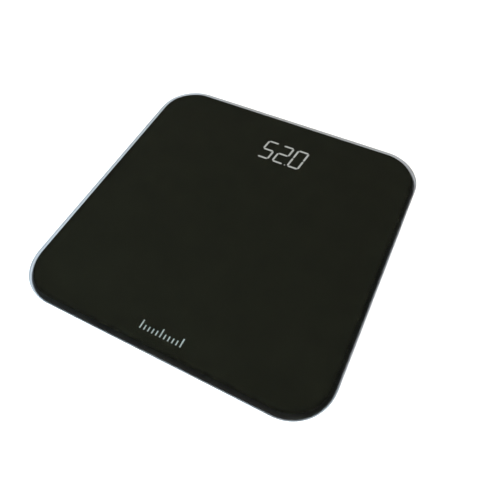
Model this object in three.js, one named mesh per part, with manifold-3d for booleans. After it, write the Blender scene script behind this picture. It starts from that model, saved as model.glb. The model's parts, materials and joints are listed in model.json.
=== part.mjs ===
// An electronic bathroom scale with a square toughened-glass platform.
//
// The glass stands on four load-cell feet, each in a round housing taped under a corner. A slim
// electronics module is taped under the rear of the glass, where its digits show through, and it
// holds the main board, three AAA cells and a door for them. Covered leads join the feet to it.
//
// Millimetres, +Z up, origin on the floor under the centre of the platform. The user stands at -Y
// and reads the display near +Y.
import * as THREE from "three";
import { mergeVertices } from "three/addons/utils/BufferGeometryUtils.js";
import Module from "manifold-3d";

const wasm = await Module();
wasm.setup();

// ---------------------------------------------------------------- driving dimensions

const PLATFORM = 300; // side of the square glass
const CORNER_R = 40;
const HEIGHT = 24; // floor to the top of the glass
const GLASS = 6;
const ARRIS = 0.8; // ground bevel along the glass's edges
const GAP = 0.3; // clearance between neighbouring pieces
const ROUND_STEPS = 24; // straight edges round a foot

// Everything under the glass hangs from it by foam tape.
const GLASS_BASE = HEIGHT - GLASS;
const TAPE_TOP = GLASS_BASE - GAP;
const TAPE_BASE = TAPE_TOP - 0.8;
const BONDED_TOP = TAPE_BASE - GAP;

// Feet
const FOOT_INSET = 42; // foot centre to the platform's edges
const FOOT_AT = PLATFORM / 2 - FOOT_INSET;
const POD_FLANGE_R = 28.5;
const POD_WALL_R = 27;
const POD_BASE = 5;
const POD_ROOF = 15.3; // underside of the housing's roof
const POD_CAVITY_R = 23.4;
const RING_SEAT_R = 24.4;
const RING_TOP = 6.8;
const RING_HOLE_R = 19.2;
const FOOT_R = 18.6;
const FOOT_BASE = 1.4;
const PAD_R = 16.3;
const PAD_TOP = 2.3;
const CELL_BASE = 10.5;
const CELL_TOP = 13;
const CELL_SIDE = 34;
const FOOT_FLANGE_R = 21.8;
const NOSE_R = 5.5; // the foot's nose that bears on the load cell's tongue

// Leads
const LEAD_R = 0.9;
const LEAD_Z = 13.6;
const SLOT = { width: 4.8, base: 12.2 }; // where a lead passes through a wall
const COVER_WIDTH = 8; // of the cover strips over the leads
const COVER_BASE = 11.5;
const COVER_WALL = 0.9;

// Electronics module
const MODULE = { x: 0, y: 77, width: 104, depth: 110, radius: 12 };
const SHELL_BASE = 3.2;
const SHELL_FLOOR = 5; // inner face of the shell's bottom wall
const SHELL_TOP = 14.5;
const SHELL_WALL = 1.8;
const SHELL_OVERLAP = SHELL_FLOOR - 0.2; // what stands on the shell's floor starts inside it
const FRAME_BASE = SHELL_TOP + GAP;
const FRAME_RIM = 6; // width of the frame's flange
const SCREW_X = 43.5;
const SCREW_Y = [31, 123.2];
const SCREW = { tip: 13.4, seat: 5.9, head: 4.4, headR: 2.9, shankR: 1.05 };
const PILLAR = { r: 4.2, base: 8.3, pilotR: 1.35, pilotTop: 14.2 }; // of the frame, round a screw
const BOSS = { r: 4.6, top: 8, holeR: 1.7, recessR: 3.3, recessTop: 6.2 }; // of the shell, below it
const BOARD = { x0: -47, x1: 47, y0: 77, y1: 118, z0: 9.6, z1: 11.2 };
const BOARD_POST = { x: 43, y: [81, 114], r: 2 };
const BUTTON = { x: 32, y: 100, r: 4, flange: 5.2, travel: 0.8 };

// Display
const DIGITS = { x: 0, y: 101, pitch: 17.5, count: 4 };
const DIGIT_WIDTH = 11.7; // between the centre lines of the upright segments
const DIGIT_HEIGHT = 24.8;
const DIGIT_SLANT = 0.12; // sideways lean per millimetre of height
const SEGMENT = 1.9;
const POINT = { r: 0.8, x: 8.6, y: -12.7 }; // decimal point, from a digit's centre
const DISPLAY = { width: 76, depth: 34, z0: 11.5, z1: 17, wellDepth: 3 };

// Cells and their compartment
const CELL_R = 5.1;
const CELL_LENGTH = 44.5;
const NUB = 0.8;
const BATTERY_Y = [42, 53, 64];
const BATTERY_Z = 10.2;
const BATTERY_SHIFT = 2.15; // towards the positive end, which leaves room for the spring
const TUB = { x: 28, y0: 35, y1: 71, roof: 15.6, wall: 3 };
const DOOR = { x: 29.2, y0: 33.3, y1: 72.7, z1: 4.8 };
const HINGE = { x: 18, y: 75.4, z: 5, width: 7, knuckle: 1.25, pin: 0.8, pinLength: 9.8 };
const LATCH = { halfWidth: 5.5, y0: 34, y1: 35.1, top: 9.8 }; // the door's leaf
const CONTACT = { x: 27.2, thick: 0.5, halfHeight: 4.2 }; // x is a plate's inner face
const TAIL = { end: 32.3, halfWidth: 1.5, z0: 10.2, z1: 10.7 }; // where a lead is soldered
const CLEARANCE = 0.7; // round a contact's tail in the tub's wall

// ---------------------------------------------------------------- materials

const finish = (color, roughness, metalness = 0) =>
  new THREE.MeshStandardMaterial({ color, roughness, metalness });
const BLACK_GLASS = finish(0x1f201a, 0.05);
const BLACK_ABS = finish(0x1b1c1e, 0.55);
const GREY_ABS = finish(0x3a3c40, 0.5);
const RUBBER = finish(0x121212, 0.85);
const FOAM = finish(0xd8d8d2, 0.95);
const STEEL = finish(0xa9adb2, 0.35, 1);
const NICKEL = finish(0xcfd2d4, 0.25, 1);
const LEAD_GREY = finish(0x55585c, 0.6);
const LEAD_RED = finish(0xa81c14, 0.55);
const BOARD_GREEN = finish(0x14502c, 0.45);
const DISPLAY_WHITE = finish(0xe6e6e0, 0.5);
const SMOKED_FILM = finish(0x0d0d10, 0.15);
const CELL_LABEL = finish(0x2c5d8f, 0.35);

// ---------------------------------------------------------------- shapes

const root = new THREE.Group();

// A named mesh in the group that it belongs to.
function add(name, geometry, material, parent = root) {
  const mesh = new THREE.Mesh(geometry, material);
  mesh.name = name;
  parent.add(mesh);
  return mesh;
}

function box(x0, x1, y0, y1, z0, z1) {
  const made = new THREE.BoxGeometry(x1 - x0, y1 - y0, z1 - z0);
  return made.translate((x0 + x1) / 2, (y0 + y1) / 2, (z0 + z1) / 2);
}

function disc(radius, z0, z1, x = 0, y = 0, steps = 16, top = radius) {
  const made = new THREE.CylinderGeometry(top, radius, z1 - z0, steps);
  return made.rotateX(Math.PI / 2).translate(x, y, (z0 + z1) / 2);
}

// A solid turned about Z from [radius, z] points.
function turned(points, steps = ROUND_STEPS) {
  const profile = points.map(([r, z]) => new THREE.Vector2(r, z));
  return new THREE.LatheGeometry(profile, steps).rotateX(Math.PI / 2);
}

function roundedRect(width, depth, radius, x = 0, y = 0) {
  const shape = new THREE.Shape();
  const [w, d] = [width / 2 - radius, depth / 2 - radius];
  const corners = [[w, d], [-w, d], [-w, -d], [w, -d]];
  corners.forEach(([cx, cy], i) => {
    const start = (i * Math.PI) / 2;
    shape.absarc(x + cx, y + cy, radius, start, start + Math.PI / 2, false);
  });
  shape.closePath();
  return shape;
}

function plate(shape, z0, z1) {
  const options = { depth: z1 - z0, bevelEnabled: false, curveSegments: 5 };
  return new THREE.ExtrudeGeometry(shape, options).translate(0, 0, z0);
}

// A side profile of [y, z] points, carried across from x0 to x1.
function acrossX(points, x0, x1) {
  const profile = new THREE.Shape(points.map(([y, z]) => new THREE.Vector2(y, z)));
  const made = new THREE.ExtrudeGeometry(profile, { depth: x1 - x0, bevelEnabled: false });
  const [X, Y, Z] = [0, 1, 2].map((i) => new THREE.Vector3().setComponent(i, 1));
  return made.applyMatrix4(new THREE.Matrix4().makeBasis(Y, Z, X)).translate(x0, 0, 0);
}

function rodAlongX(radius, x0, x1, y, z, steps) {
  const made = new THREE.CylinderGeometry(radius, radius, x1 - x0, steps);
  return made.rotateZ(Math.PI / 2).translate((x0 + x1) / 2, y, z);
}

// A plate whose top and bottom edges are rounded off by the bevel, inside its own outline.
function bevelledPlate(shape, z0, z1, bevel, steps, arcSteps) {
  const made = new THREE.ExtrudeGeometry(shape, {
    depth: z1 - z0 - 2 * bevel,
    bevelThickness: bevel,
    bevelSize: bevel,
    bevelOffset: -bevel,
    bevelSegments: steps,
    curveSegments: arcSteps,
  });
  return made.translate(0, 0, z0 + bevel);
}

function tube(path, radius, steps, sides = 6) {
  const section = new THREE.Shape();
  for (let i = 0; i < sides; i++) {
    const a = (2 * Math.PI * i) / sides;
    const move = i ? "lineTo" : "moveTo";
    section[move](radius * Math.cos(a), radius * Math.sin(a));
  }
  section.closePath();
  path.arcLengthDivisions = 400;
  return new THREE.ExtrudeGeometry(section, { extrudePath: path, steps, bevelEnabled: false });
}

const through = (points) => new THREE.CatmullRomCurve3(points);

// ---------------------------------------------------------------- joining and cutting

function solid(geometry) {
  const bare = geometry.clone();
  bare.deleteAttribute("normal");
  bare.deleteAttribute("uv");
  const merged = mergeVertices(bare, 1e-4);
  const made = new wasm.Mesh({
    numProp: 3,
    vertProperties: new Float32Array(merged.attributes.position.array),
    triVerts: new Uint32Array(merged.index.array),
  });
  return new wasm.Manifold(made);
}

function geometryOf(made) {
  const mesh = made.getMesh();
  const geometry = new THREE.BufferGeometry();
  const positions = new THREE.BufferAttribute(mesh.vertProperties, mesh.numProp);
  geometry.setAttribute("position", positions);
  geometry.setIndex(new THREE.BufferAttribute(mesh.triVerts, 1));
  return geometry.toNonIndexed();
}

const join = (...parts) => geometryOf(parts.map(solid).reduce((a, b) => a.add(b)));
const cut = (part, ...tools) =>
  geometryOf(tools.map(solid).reduce((a, b) => a.subtract(b), solid(part)));

// ---------------------------------------------------------------- glass platform

function addPlatform() {
  const outline = roundedRect(PLATFORM, PLATFORM, CORNER_R);
  const glass = bevelledPlate(outline, GLASS_BASE, HEIGHT, ARRIS, 1, 10);
  add("glass_platform", glass, BLACK_GLASS);
}

// ---------------------------------------------------------------- load-cell feet

// Where the leads go: the rear pair straight into the module's sides, the front pair to its front.
const FRONT_ENTRY_X = 35.7;
const REAR_ENTRY_Y = FOOT_AT;
const FEET = [
  { name: "front_left", x: -FOOT_AT, y: -FOOT_AT, to: [-FRONT_ENTRY_X, MODULE.y - MODULE.depth / 2] },
  { name: "front_right", x: FOOT_AT, y: -FOOT_AT, to: [FRONT_ENTRY_X, MODULE.y - MODULE.depth / 2] },
  { name: "rear_left", x: -FOOT_AT, y: FOOT_AT, to: [-MODULE.width / 2, REAR_ENTRY_Y] },
  { name: "rear_right", x: FOOT_AT, y: FOOT_AT, to: [MODULE.width / 2, REAR_ENTRY_Y] },
];

// The cup that hangs from the glass: a roof, a wall, four posts that the load cell's frame bears
// on, a step that seats the retaining ring, and a slot for the lead.
function housing() {
  const cup = turned([
    [0, POD_ROOF],
    [POD_CAVITY_R, POD_ROOF],
    [POD_CAVITY_R, RING_TOP + GAP],
    [RING_SEAT_R, RING_TOP + GAP],
    [RING_SEAT_R, POD_BASE],
    [POD_WALL_R - 1.2, POD_BASE],
    [POD_WALL_R - 0.5, POD_BASE + 0.8],
    [POD_WALL_R, POD_ROOF - 1],
    [POD_FLANGE_R, POD_ROOF],
    [POD_FLANGE_R, BONDED_TOP],
    [0, BONDED_TOP],
  ]);
  const reach = CELL_SIDE / 2 - 4.5;
  const posts = [-reach, reach].flatMap((x) =>
    [-reach, reach].map((y) => disc(2.2, CELL_TOP + GAP, POD_ROOF + 0.5, x, y, 8)),
  );
  const half = SLOT.width / 2;
  const slot = box(POD_CAVITY_R - 3, POD_FLANGE_R + 2, -half, half, SLOT.base, POD_ROOF);
  return cut(join(cup, ...posts), slot);
}

function tapeDisc() {
  const [inner, outer] = [8, POD_FLANGE_R - 1];
  return turned([
    [inner, TAPE_BASE],
    [outer, TAPE_BASE],
    [outer, TAPE_TOP],
    [inner, TAPE_TOP],
    [inner, TAPE_BASE],
  ]);
}

// A stamped steel square whose tongue bends under the foot, with the gauge potted at its root.
function loadCell() {
  const frame = roundedRect(CELL_SIDE, CELL_SIDE, 4);
  const [tongue, gap] = [6.3, 2.3]; // half the tongue's width, and the gap round it
  const [hinge, tip] = [9, -8.3];
  const [edge, end] = [tongue + gap, tip - gap];
  const gapOutline = [
    [hinge, edge],
    [end, edge],
    [end, -edge],
    [hinge, -edge],
    [hinge, -tongue],
    [tip, -tongue],
    [tip, tongue],
    [hinge, tongue],
  ];
  frame.holes.push(new THREE.Path(gapOutline.map(([x, y]) => new THREE.Vector2(x, y))));
  const gauge = box(6.5, 12.4, -3.5, 3.5, CELL_TOP - 0.5, CELL_TOP + 0.8);
  return join(plate(frame, CELL_BASE, CELL_TOP), gauge);
}

function retainingRing() {
  const outer = RING_SEAT_R - GAP;
  const base = POD_BASE + 0.2;
  return turned([
    [RING_HOLE_R, base + 0.5],
    [RING_HOLE_R + 0.5, base],
    [outer, base],
    [outer, RING_TOP],
    [RING_HOLE_R, RING_TOP],
    [RING_HOLE_R, base + 0.5],
  ]);
}

// The puck that the load cell bears on. Its flange keeps it above the ring when the scale is lifted.
function foot() {
  const flange = RING_TOP + GAP;
  return turned([
    [0, PAD_TOP + GAP],
    [PAD_R + GAP, PAD_TOP + GAP],
    [PAD_R + GAP, FOOT_BASE],
    [FOOT_R - 0.8, FOOT_BASE],
    [FOOT_R, FOOT_BASE + 0.8],
    [FOOT_R, flange],
    [FOOT_FLANGE_R, flange],
    [FOOT_FLANGE_R, flange + 1.5],
    [NOSE_R + 1, flange + 1.5],
    [NOSE_R, CELL_BASE - GAP],
    [0, CELL_BASE - GAP],
  ]);
}

function footPad() {
  return turned([
    [0, 0],
    [PAD_R - 0.6, 0],
    [PAD_R, 0.6],
    [PAD_R, PAD_TOP],
    [0, PAD_TOP],
  ]);
}

function addFoot({ name, x, y, to }) {
  const pod = new THREE.Group();
  pod.position.set(x, y, 0);
  pod.rotation.z = Math.atan2(to[1] - y, to[0] - x); // local +X runs along the lead
  root.add(pod);
  add(`pod_tape_${name}`, tapeDisc(), FOAM, pod);
  add(`foot_housing_${name}`, housing(), BLACK_ABS, pod);
  add(`load_cell_${name}`, loadCell(), STEEL, pod);
  add(`foot_ring_${name}`, retainingRing(), GREY_ABS, pod);
  add(`foot_${name}`, foot(), BLACK_ABS, pod);
  add(`foot_pad_${name}`, footPad(), RUBBER, pod);
}

// ---------------------------------------------------------------- leads and their covers

// A strip with a U section, open to the glass, that fits round the housing and against the module.
function addLeadCover({ name, x, y, to }) {
  const length = Math.hypot(to[0] - x, to[1] - y) + 10;
  const turn = Math.atan2(to[1] - y, to[0] - x);
  const [half, inner] = [COVER_WIDTH / 2, COVER_WIDTH / 2 - COVER_WALL];
  const place = (part) => part.rotateZ(turn).translate(x, y, 0);
  const strip = place(box(10, length, -half, half, COVER_BASE, TAPE_TOP));
  const hollow = place(box(9, length + 1, -inner, inner, COVER_BASE + COVER_WALL, TAPE_TOP + 1));
  const pod = disc(POD_FLANGE_R + GAP, 0, HEIGHT, x, y, 2 * ROUND_STEPS);
  const { width, depth, radius } = MODULE;
  const grown = roundedRect(width + 2 * GAP, depth + 2 * GAP, radius + GAP, MODULE.x, MODULE.y);
  const cover = cut(strip, hollow, pod, plate(grown, 0, HEIGHT));
  add(`lead_cover_${name}`, cover, BLACK_ABS);
}

// From the gauge, out through the housing's slot, along the cover and down to the board's edge.
function addLoadCellLead({ name, x, y, to }) {
  const side = Math.sign(x);
  const length = Math.hypot(to[0] - x, to[1] - y);
  const [ux, uy] = [(to[0] - x) / length, (to[1] - y) / length];
  const along = (r, z) => new THREE.Vector3(x + ux * r, y + uy * r, z);
  const at = (px, py, z) => new THREE.Vector3(side * px, py, z);
  const solderZ = BOARD.z1 + GAP + LEAD_R;
  const start = [along(12.8, 14.3), along(16, 14.25), along(20, 13.9), along(25, LEAD_Z)];
  const front = [
    along(60, LEAD_Z),
    along(100, LEAD_Z),
    along(length - 20, LEAD_Z),
    at(37.7, 18, LEAD_Z),
    at(35.9, 24, LEAD_Z),
    at(35.7, 34, LEAD_Z),
    at(35.7, 50, LEAD_Z),
    at(36.4, 66, LEAD_Z),
    at(40, 76, LEAD_Z - 0.2),
    at(42.5, 82, solderZ + 0.3),
    at(43, 88, solderZ),
  ];
  const rear = [
    along(40, LEAD_Z),
    along(52, LEAD_Z),
    at(49, REAR_ENTRY_Y, LEAD_Z),
    at(45.5, REAR_ENTRY_Y, LEAD_Z - 0.4),
    at(43.6, REAR_ENTRY_Y, solderZ + 0.2),
    at(41.2, REAR_ENTRY_Y, solderZ),
  ];
  const inFront = y < 0;
  const route = [...start, ...(inFront ? front : rear)];
  add(`load_cell_lead_${name}`, tube(through(route), LEAD_R, inFront ? 44 : 20, 5), LEAD_GREY);
}

// ---------------------------------------------------------------- electronics module

const corners = (visit) => [-SCREW_X, SCREW_X].flatMap((x) => SCREW_Y.map((y) => visit(x, y)));

const moduleOutline = (inset) =>
  roundedRect(
    MODULE.width - 2 * inset,
    MODULE.depth - 2 * inset,
    MODULE.radius - inset,
    MODULE.x,
    MODULE.y,
  );

// Where the leads cross the module's wall.
const leadSlots = () =>
  [-1, 1].flatMap((side) => {
    const [x, y] = [side * FRONT_ENTRY_X, MODULE.y - MODULE.depth / 2];
    const edge = (side * MODULE.width) / 2;
    const [half, reach] = [SLOT.width / 2, SHELL_WALL + 1];
    return [
      box(x - half, x + half, y - 1, y + reach, SLOT.base, HEIGHT),
      box(edge - reach, edge + reach, REAR_ENTRY_Y - half, REAR_ENTRY_Y + half, SLOT.base, HEIGHT),
    ];
  });

// The flange that is taped to the glass, with the screw pillars.
function addFrame() {
  const rim = moduleOutline(0);
  rim.holes.push(moduleOutline(FRAME_RIM));
  const pillars = corners((x, y) => disc(PILLAR.r, PILLAR.base, FRAME_BASE + 1, x, y));
  const pilots = corners((x, y) => disc(PILLAR.pilotR, PILLAR.base - 1, PILLAR.pilotTop, x, y, 12));
  const flange = plate(rim, FRAME_BASE, BONDED_TOP);
  add("module_frame", cut(join(flange, ...pillars), ...pilots), BLACK_ABS);
}

function addModuleTape() {
  const rim = moduleOutline(0.6);
  rim.holes.push(moduleOutline(FRAME_RIM - 0.6));
  add("module_tape", plate(rim, TAPE_BASE, TAPE_TOP), FOAM);
}

const hinges = (visit) => [-HINGE.x, HINGE.x].flatMap(visit);

// What stands on the floor of the shell: the battery tub, the blocks that carry the door's pins,
// the screw bosses and the board's posts.
function shellFittings() {
  const { x, y0, y1, roof, wall } = TUB;
  const base = SHELL_OVERLAP;
  const tub = box(-x - wall, x + wall, y0 - wall - 0.5, y1 + wall + 0.5, base, roof + 0.7);
  const blocks = hinges((hx) => box(hx - 7, hx + 7, HINGE.y - 2, HINGE.y + 2.6, base, 7.4));
  const bosses = corners((sx, sy) => disc(BOSS.r, base, BOSS.top, sx, sy));
  const posts = [-BOARD_POST.x, BOARD_POST.x].flatMap((px) =>
    BOARD_POST.y.map((py) => disc(BOARD_POST.r, base, BOARD.z0 - GAP, px, py, 10)),
  );
  return [tub, ...blocks, ...bosses, ...posts];
}

// What the door needs: the cells' space, its doorway, its arms' notches, its pins' holes, the slot
// for its latch leaf and a dip for a fingertip.
function doorOpenings() {
  const { x, y0, y1, roof } = TUB;
  const cells = box(-x, x, y0, y1, SHELL_BASE, roof);
  const doorway = box(-DOOR.x - GAP, DOOR.x + GAP, DOOR.y0 - GAP, DOOR.y1 + GAP, 0, SHELL_FLOOR);
  const notches = hinges((hx) => {
    const half = HINGE.width / 2 + 0.5;
    return box(hx - half, hx + half, y1 - 0.4, HINGE.y + 1.7, 0, HINGE.z + 1.8);
  });
  const pinHoles = hinges((hx) => {
    const half = HINGE.pinLength / 2 + GAP;
    return rodAlongX(HINGE.pin + GAP, hx - half, hx + half, HINGE.y, HINGE.z, 12);
  });
  const latchReach = LATCH.halfWidth + 1.5;
  const latchSlot = box(-latchReach, latchReach, y0 - 2.6, y0 + 0.5, SHELL_FLOOR - 1, LATCH.top + 1.2);
  const fingerDip = disc(9, SHELL_BASE - 1, SHELL_BASE + 0.9, 0, DOOR.y0, 24, 8);
  return [cells, doorway, ...notches, ...pinHoles, latchSlot, fingerDip];
}

// Slots in the tub's end walls for the tails of the first and the last contact.
function tailSlots() {
  const [y0, y1] = [BATTERY_Y[0], BATTERY_Y[BATTERY_Y.length - 1]];
  const half = TAIL.halfWidth + CLEARANCE;
  const [base, top] = [TAIL.z0 - 0.6, TAIL.z1 + CLEARANCE];
  const [inside, outside] = [TUB.x - 1, TUB.x + TUB.wall + 1];
  return [
    box(-outside, -inside, y0 - half, y0 + half, base, top),
    box(inside, outside, y1 - half, y1 + half, base, top),
  ];
}

// The bottom shell, screwed up to the frame.
function addShell() {
  const outer = bevelledPlate(moduleOutline(0), SHELL_BASE, SHELL_TOP + 3, 1.5, 2, 5);
  const cavity = plate(moduleOutline(SHELL_WALL), SHELL_FLOOR, HEIGHT);
  const aboveRim = box(-MODULE.width, MODULE.width, 0, PLATFORM / 2, SHELL_TOP, HEIGHT);
  const tray = cut(outer, cavity, aboveRim);
  const buttonHole = disc(BUTTON.r + GAP, 0, SHELL_FLOOR + 1, BUTTON.x, BUTTON.y, 20);
  const screwHoles = corners((x, y) => disc(BOSS.holeR, 0, BOSS.top + 1, x, y, 12));
  const recesses = corners((x, y) => disc(BOSS.recessR, 0, BOSS.recessTop, x, y));
  const openings = [...doorOpenings(), ...tailSlots(), ...leadSlots()];
  const holes = [buttonHole, ...screwHoles, ...recesses];
  add("module_shell", cut(join(tray, ...shellFittings()), ...openings, ...holes), BLACK_ABS);
}

function addScrews() {
  const names = ["front_left", "rear_left", "front_right", "rear_right"];
  const screw = () =>
    turned(
      [
        [0, SCREW.tip],
        [0.4, SCREW.tip],
        [SCREW.shankR, SCREW.tip - 0.8],
        [SCREW.shankR, SCREW.seat],
        [SCREW.headR, SCREW.seat],
        [SCREW.headR, SCREW.head + 0.7],
        [SCREW.headR - 0.7, SCREW.head + 0.1],
        [0, SCREW.head],
      ].reverse(),
      16,
    );
  corners((x, y) => add(`module_screw_${names.shift()}`, screw(), NICKEL).position.set(x, y, 0));
}

// The board, with its potted processor on the underside.
function addBoard() {
  const { x0, x1, y0, y1, z0, z1 } = BOARD;
  const processor = disc(6.5, z0 - 1.3, z0 + 0.5, (x0 + x1) / 2, (y0 + y1) / 2, 20, 7);
  add("main_board", join(box(x0, x1, y0, y1, z0, z1), processor), BOARD_GREEN);
}

// One seven-segment digit's segments as bars with pointed ends, [x, y, turn] from its centre.
const HALF_HEIGHT = DIGIT_HEIGHT / 2;
const SEGMENTS = [
  [0, HALF_HEIGHT, 0],
  [0, 0, 0],
  [0, -HALF_HEIGHT, 0],
  ...[-1, 1].flatMap((sx) => [-1, 1].map((sy) => [(sx * DIGIT_WIDTH) / 2, (sy * HALF_HEIGHT) / 2, 1])),
];

function segmentWell([x, y, upright], digitX) {
  const length = (upright ? HALF_HEIGHT : DIGIT_WIDTH) - 0.9;
  const [h, w] = [length / 2, SEGMENT / 2];
  const points = [[h, 0], [h - w, w], [w - h, w], [-h, 0], [w - h, -w], [h - w, -w]];
  const bar = new THREE.Shape(points.map(([px, py]) => new THREE.Vector2(px, py)));
  const well = plate(bar, DISPLAY.z1 - DISPLAY.wellDepth, DISPLAY.z1 + 1);
  well.rotateZ((upright * Math.PI) / 2).translate(x, y, 0);
  const lean = new THREE.Matrix4().makeShear(0, 0, DIGIT_SLANT, 0, 0, 0);
  return well.applyMatrix4(lean).translate(digitX, DIGITS.y, 0);
}

// A white block with a light well for each segment and decimal point, under a smoked film.
function addDisplay() {
  const { width, depth, z0, z1, wellDepth } = DISPLAY;
  const [w, d] = [width / 2, depth / 2];
  const block = box(DIGITS.x - w, DIGITS.x + w, DIGITS.y - d, DIGITS.y + d, z0, z1);
  const wells = [];
  for (let i = 0; i < DIGITS.count; i++) {
    const x = DIGITS.x + (i - (DIGITS.count - 1) / 2) * DIGITS.pitch;
    wells.push(...SEGMENTS.map((segment) => segmentWell(segment, x)));
    const pointX = x + POINT.x + DIGIT_SLANT * POINT.y;
    const point = disc(POINT.r, z1 - wellDepth, z1 + 1, pointX, DIGITS.y + POINT.y, 8);
    if (i < DIGITS.count - 1) wells.push(point);
  }
  add("display_block", cut(block, ...wells), DISPLAY_WHITE);
  const film = roundedRect(width + 3, depth + 3, 2, DIGITS.x, DIGITS.y);
  add("display_film", plate(film, z1 + GAP, z1 + GAP + 0.3), SMOKED_FILM);
}

// The button that changes the unit, and the switch above it.
function addUnitButton() {
  const top = SHELL_FLOOR + GAP;
  const button = turned(
    [
      [0, SHELL_BASE + 0.2],
      [BUTTON.r - 0.5, SHELL_BASE + 0.2],
      [BUTTON.r, SHELL_BASE + 0.7],
      [BUTTON.r, top],
      [BUTTON.flange, top],
      [BUTTON.flange, top + 0.8],
      [0, top + 0.8],
    ],
    20,
  );
  add("unit_button", button, GREY_ABS).position.set(BUTTON.x, BUTTON.y, 0);
  const body = box(-3, 3, -3, 3, 7.6, BOARD.z0 - GAP);
  const plunger = disc(1.6, top + 0.8 + BUTTON.travel + GAP, 8, 0, 0, 12);
  add("unit_switch", join(body, plunger), STEEL).position.set(BUTTON.x, BUTTON.y, 0);
}

// ---------------------------------------------------------------- batteries

// The door: a panel, two pinned arms that hinge it at the rear, and a latch leaf at the front. The
// panel's rear edge leans forward so that it clears the shell as it swings.
function addDoor() {
  const { x, y0, y1, z1 } = DOOR;
  const panel = acrossX([[y0, SHELL_BASE], [y1, SHELL_BASE], [y1 - 1, z1], [y0, z1]], -x, x);
  const arm = (hx) => {
    const half = HINGE.width / 2;
    const knuckle = rodAlongX(HINGE.knuckle, hx - half, hx + half, HINGE.y, HINGE.z, 12);
    const reach = HINGE.pinLength / 2;
    const pin = rodAlongX(HINGE.pin, hx - reach, hx + reach, HINGE.y, HINGE.z, 8);
    const bar = box(hx - half, hx + half, y1 - 2, HINGE.y, HINGE.z - HINGE.knuckle, z1);
    return [bar, knuckle, pin];
  };
  const leaf = box(-LATCH.halfWidth, LATCH.halfWidth, LATCH.y0, LATCH.y1, z1 - 0.5, LATCH.top);
  add("battery_door", join(panel, ...hinges(arm), leaf), BLACK_ABS);
}

// AAA cells side by side, each turned end for end from its neighbour.
function addCells() {
  const half = CELL_LENGTH / 2;
  BATTERY_Y.forEach((y, i) => {
    const cell = turned(
      [
        [0, -half],
        [CELL_R - 0.4, -half],
        [CELL_R, 0.4 - half],
        [CELL_R, half - NUB - 0.4],
        [CELL_R - 0.4, half - NUB],
        [1.9, half - NUB],
        [1.9, half],
        [0, half],
      ],
      16,
    );
    const towards = i % 2 ? -1 : 1;
    cell.rotateY((towards * Math.PI) / 2);
    add(`battery_${i + 1}`, cell, CELL_LABEL).position.set(towards * BATTERY_SHIFT, y, BATTERY_Z);
  });
}

// A spring wound to a taper about X.
class ConicalSpring extends THREE.Curve {
  constructor(x0, x1, y, z) {
    super();
    Object.assign(this, { x0, x1, y, z });
  }
  getPoint(t, target = new THREE.Vector3()) {
    const [turns, wide, narrow] = [3, 3.5, 2.6];
    const radius = wide + (narrow - wide) * t;
    const a = 2 * Math.PI * turns * t;
    const x = this.x0 + (this.x1 - this.x0) * t;
    return target.set(x, this.y + radius * Math.cos(a), this.z + radius * Math.sin(a));
  }
}

// A nickel plate at one end of the compartment (side is -1 or 1), with a bump for a cell's positive
// nub, a spring for a negative end, and a tail through the tub's wall where a lead is soldered.
function contact(name, side, { bump, spring, tail }) {
  const reach = [bump, spring].filter((y) => y !== undefined);
  const [y0, y1] = [Math.min(...reach) - 4, Math.max(...reach) + 4];
  const across = (a, b) => [Math.min(side * a, side * b), Math.max(side * a, side * b)];
  const [z0, z1] = [BATTERY_Z - CONTACT.halfHeight, BATTERY_Z + CONTACT.halfHeight];
  const parts = [box(...across(CONTACT.x, CONTACT.x + CONTACT.thick), y0, y1, z0, z1)];
  const nubEnd = CELL_LENGTH / 2 + BATTERY_SHIFT + GAP;
  const flatEnd = CELL_LENGTH / 2 - BATTERY_SHIFT + GAP;
  if (bump !== undefined) {
    const length = CONTACT.x + 0.1 - nubEnd;
    const cone = new THREE.CylinderGeometry(1.2, 2.6, length, 12);
    cone.rotateZ((side * Math.PI) / 2);
    parts.push(cone.translate(side * (nubEnd + length / 2), bump, BATTERY_Z));
  }
  if (spring !== undefined) {
    const [from, to] = [side * (CONTACT.x + 0.2), side * (flatEnd + 0.3)];
    const coil = new ConicalSpring(from, to, spring, BATTERY_Z);
    parts.push(tube(coil, 0.3, 33, 5));
  }
  if (tail) {
    const [from, half] = [CONTACT.x + 0.2, TAIL.halfWidth];
    parts.push(box(...across(from, TAIL.end), reach[0] - half, reach[0] + half, TAIL.z0, TAIL.z1));
  }
  add(name, join(...parts), NICKEL);
}

function addContacts() {
  const [first, second, third] = BATTERY_Y;
  contact("contact_negative", -1, { spring: first, tail: true });
  contact("contact_link_right", 1, { bump: first, spring: second });
  contact("contact_link_left", -1, { bump: second, spring: third });
  contact("contact_positive", 1, { bump: third, tail: true });
}

// The leads from the compartment's two ends to the underside of the board.
function addBatteryLeads() {
  const lead = (side, y) => {
    const points = [
      [TAIL.end + 1, y, (TAIL.z0 + TAIL.z1) / 2],
      [35, y + 1.5, 10.2],
      [36, y + 6, 9.4],
      [36.4, Math.max(y + 9, 72), 8.7],
      [37.5, 79, 8.5],
      [39, 86, 8.5],
    ];
    const route = points.map(([px, py, pz]) => new THREE.Vector3(side * px, py, pz));
    return tube(through(route), 0.6, 18);
  };
  add("battery_lead_negative", lead(-1, BATTERY_Y[0]), LEAD_GREY);
  add("battery_lead_positive", lead(1, BATTERY_Y[2]), LEAD_RED);
}

// ---------------------------------------------------------------- assembly

addPlatform();
for (const place of FEET) {
  addFoot(place);
  addLeadCover(place);
  addLoadCellLead(place);
}
addFrame();
addModuleTape();
addShell();
addScrews();
addBoard();
addDisplay();
addUnitButton();
addDoor();
addCells();
addContacts();
addBatteryLeads();

export default root;
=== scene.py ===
"""Looks for the glass bathroom scale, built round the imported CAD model.

Sizes are in millimetres until a mesh is made, and places come from the CAD nodes' boxes where they can.
Lights are placed in metres, and noise is in features per metre.
"""

import json
import math

import bmesh
import bpy
from mathutils import Matrix, Vector


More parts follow.
